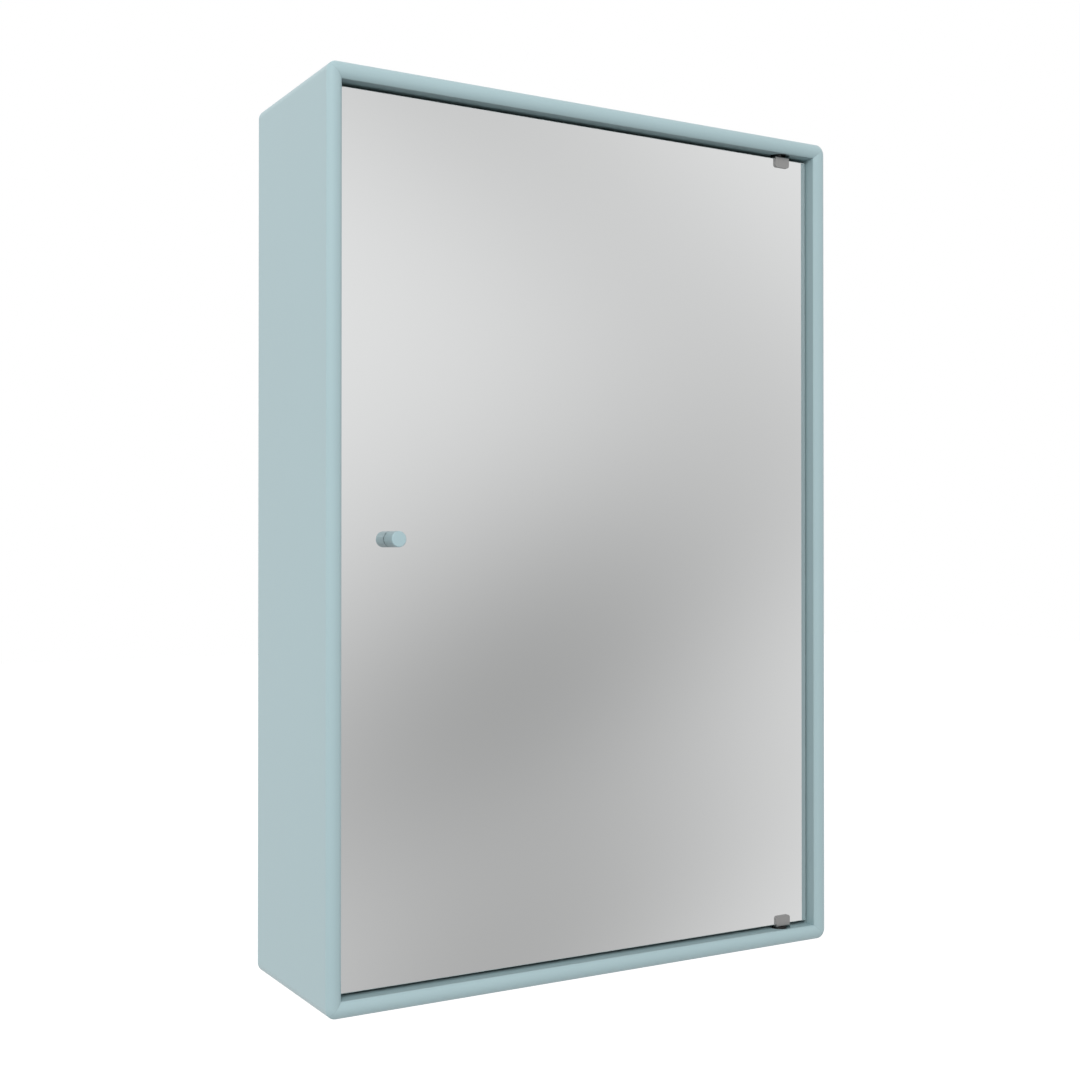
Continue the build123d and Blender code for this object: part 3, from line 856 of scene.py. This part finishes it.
# %% [markdown]
# ## The room
# The cabinet hangs at wall height in a white room with a pale floor 1.2 m below it. The camera
# sees the room as plain white, and the floor keeps the cabinet's soft shadow. A mirror shows
# whatever is in front of it, so the room needs one more thing: a large grey card behind the
# camera, with two broad shades and one soft glow on it. Only reflections see the card, so it
# lights the cabinet by way of reflections alone. The floor is left out of reflections, so that
# the mirror shows the card also to a camera that looks down at it.


# %% Floor
def plain_material(name):
    """A material whose surface is wired by hand, and the output node that it ends in."""
    material = bpy.data.materials.new(name)
    material.use_nodes = True
    return material, material.node_tree.nodes["Material Output"]


room_size = 40
floor_drop = 1.2
floor_glow = 0.55
deselect_all()
bpy.ops.mesh.primitive_plane_add(size=room_size, location=(0, 0, -floor_drop))
floor = bpy.context.active_object
floor.name = "studio_floor"
floor.visible_diffuse = False
floor.visible_glossy = False

floor_material, end = plain_material("pale floor")
paths = add_node(floor_material, "LightPath").outputs
paint = add_node(floor_material, "BsdfDiffuse", {"Color": linear("#E8E8E8")}).outputs[0]
glow = add_node(floor_material, "Emission", {"Strength": floor_glow}).outputs[0]
both = add_node(floor_material, "AddShader", {0: paint, 1: glow}).outputs[0]
seen = calculate(floor_material, "ADD", paths["Is Camera Ray"], paths["Is Glossy Ray"])
seen = calculate(floor_material, "ADD", seen, paths["Is Transmission Ray"])
surface = add_node(floor_material, "MixShader", {"Fac": seen, 1: paint, 2: both})
feed(floor_material, end, "Surface", surface.outputs[0])
floor.data.materials.append(floor_material)
print("floor", floor_drop, "m below the cabinet")

# %% [markdown]
# ## The card that the mirror sees
# Its shades and its glow are three soft ovals. A Mapping node of the Texture kind moves an
# oval's middle to zero and shrinks it to a circle, and a bell curve, the exponential of minus
# the squared distance, fades it out. Their places follow the soft gradient that the mirror
# shows in the photograph. Light that the mirror throws on from the card to the frame would
# wash out the narrow gaps, so the card is dim for a ray that has left a matt surface.

# %% Grey card
card_y = -2.6
mirror_share = 0.925
card_grey = 0.78
dim_share = 0.25
ovals = [
    # amount, middle across, middle up, half width, half height, turn in radians
    (-0.27, 0.11, 2.40, 2.25, 0.49, -0.63),
    (0.25, 1.01, -0.56, 1.53, 0.40, 0.43),
    (-0.60, 1.23, -0.42, 1.33, 0.74, 0.65),
]
deselect_all()
bpy.ops.mesh.primitive_plane_add(
    size=room_size, rotation=(radians(90), 0, 0), location=(0, card_y, 0)
)
card = placed("studio_card")
card.visible_camera = False
card.visible_diffuse = False
card.visible_transmission = False
card.visible_shadow = False
print("grey card", -card_y, "m in front of the wall")


# %% Shades and glow on the card
def bell(material, on_card, oval):
    """1 at the middle of an oval, falling softly to 0 around it."""
    across, up, half_across, half_up, turn = oval
    shrunk = add_node(
        material,
        "Mapping",
        {
            "Vector": on_card,
            "Location": (across, up, 0),
            "Rotation": (0, 0, turn),
            "Scale": (half_across, half_up, 1),
        },
        vector_type="TEXTURE",
    ).outputs[0]
    square = add_node(material, "VectorMath", {0: shrunk, 1: shrunk}, operation="DOT_PRODUCT")
    fall = calculate(material, "MULTIPLY", square.outputs["Value"], -1)
    return calculate(material, "EXPONENT", fall)


card_material, end = plain_material("grey studio card")
card_place = add_node(card_material, "TexCoord").outputs["Object"]
parts = add_node(card_material, "SeparateXYZ", {"Vector": card_place}).outputs
on_card = add_node(card_material, "CombineXYZ", {"X": parts["X"], "Y": parts["Z"]}).outputs[0]
level = card_grey
for amount, *oval in ovals:
    fade = bell(card_material, on_card, oval)
    level = calculate(card_material, "MULTIPLY_ADD", fade, amount, level)
strength = calculate(card_material, "DIVIDE", level, mirror_share)
bounces = add_node(card_material, "LightPath").outputs["Diffuse Depth"]
direct = calculate(card_material, "LESS_THAN", bounces, 0.5)
shown = spread(card_material, direct, dim_share, 1.0)
strength = calculate(card_material, "MULTIPLY", strength, shown)
shine = add_node(card_material, "Emission", {"Color": linear("#FFFFFF"), "Strength": strength})
feed(card_material, end, "Surface", shine.outputs[0])
card.data.materials.append(card_material)
print("card with", len(ovals), "soft ovals")

# %% [markdown]
# ## Light
# The world lights the cabinet from all sides, more from above than from below, as a studio
# ceiling does. Two large soft lamps give it form. One stands in front, to the left and above.
# The other stands to the left and behind, so that it lights the left side and the outer half
# of the left edge but not what lies inside the frame. Together they bring a surface that faces
# them to about the colour that is written in its finish. Neither shows in reflections, so that
# no bright square stands in the mirror.

# %% World
level_below, level_above = 0.34, 0.76
world = bpy.data.worlds.new("white room")
scene.world = world
world.use_nodes = True
paths = add_node(world, "LightPath").outputs
seen = calculate(world, "ADD", paths["Is Camera Ray"], paths["Is Transmission Ray"])
seen = calculate(world, "ADD", seen, paths["Is Glossy Ray"], use_clamp=True)
direction = add_node(world, "TexCoord").outputs["Generated"]
upward = add_node(world, "SeparateXYZ", {"Vector": direction}).outputs["Z"]
room_level = add_node(
    world,
    "MapRange",
    {
        "Value": upward,
        "From Min": -1.0,
        "From Max": 1.0,
        "To Min": level_below,
        "To Max": level_above,
    },
)
brightness = add_node(
    world,
    "Mix",
    {"Factor": seen, "A": room_level.outputs["Result"], "B": 1.0},
    data_type="FLOAT",
)
background = world.node_tree.nodes["Background"]
background.inputs["Color"].default_value = (1, 1, 1, 1)
feed(world, background, "Strength", brightness.outputs["Result"])
print("world from", level_below, "below to", level_above, "above")


# %% Lamps
def softbox(name, place, target, size, watts):
    """A rectangular soft lamp that looks from its place at its target, in metres."""
    data = bpy.data.lights.new(name, "AREA")
    data.shape = "RECTANGLE"
    data.size, data.size_y = size
    data.energy = watts
    lamp = bpy.data.objects.new(name, data)
    scene.collection.objects.link(lamp)
    lamp.location = place
    aim = Vector(target) - lamp.location
    lamp.rotation_euler = aim.to_track_quat("-Z", "Y").to_euler()
    lamp.visible_glossy = False
    print(name, watts, "W at", round(aim.length, 2), "m")


softbox(
    "front_softbox", place=(-1.3, -2.2, 1.3), target=(0, -0.14, 0.35), size=(1.2, 1.0), watts=29
)
softbox(
    "left_softbox", place=(-2.2, 0.9, 0.9), target=(-0.23, -0.07, 0.35), size=(1.2, 1.4), watts=7
)

# %% [markdown]
# ## The photograph's viewpoint
# The camera stands to the left of the cabinet, at half its height, and looks at it at about 30
# degrees. Place, turn and lens were worked out from the cabinet's edges in the photograph.

# %% Camera
lens, film_width = 49.863, 36
tilt, heading = 90.4124, -30.158
cabinet_middle = Vector((0, -0.1, 0.348))
camera_data = bpy.data.cameras.new("camera")
camera_data.lens = lens
camera_data.sensor_width = film_width
camera = bpy.data.objects.new("camera", camera_data)
scene.collection.objects.link(camera)
camera.location = (-0.64364, -1.15716, 0.33941)
camera.rotation_euler = (radians(tilt), 0, radians(heading))
scene.camera = camera
scene.view_settings.view_transform = "Standard"
print("camera", (camera.location - cabinet_middle).length, "m from the cabinet")
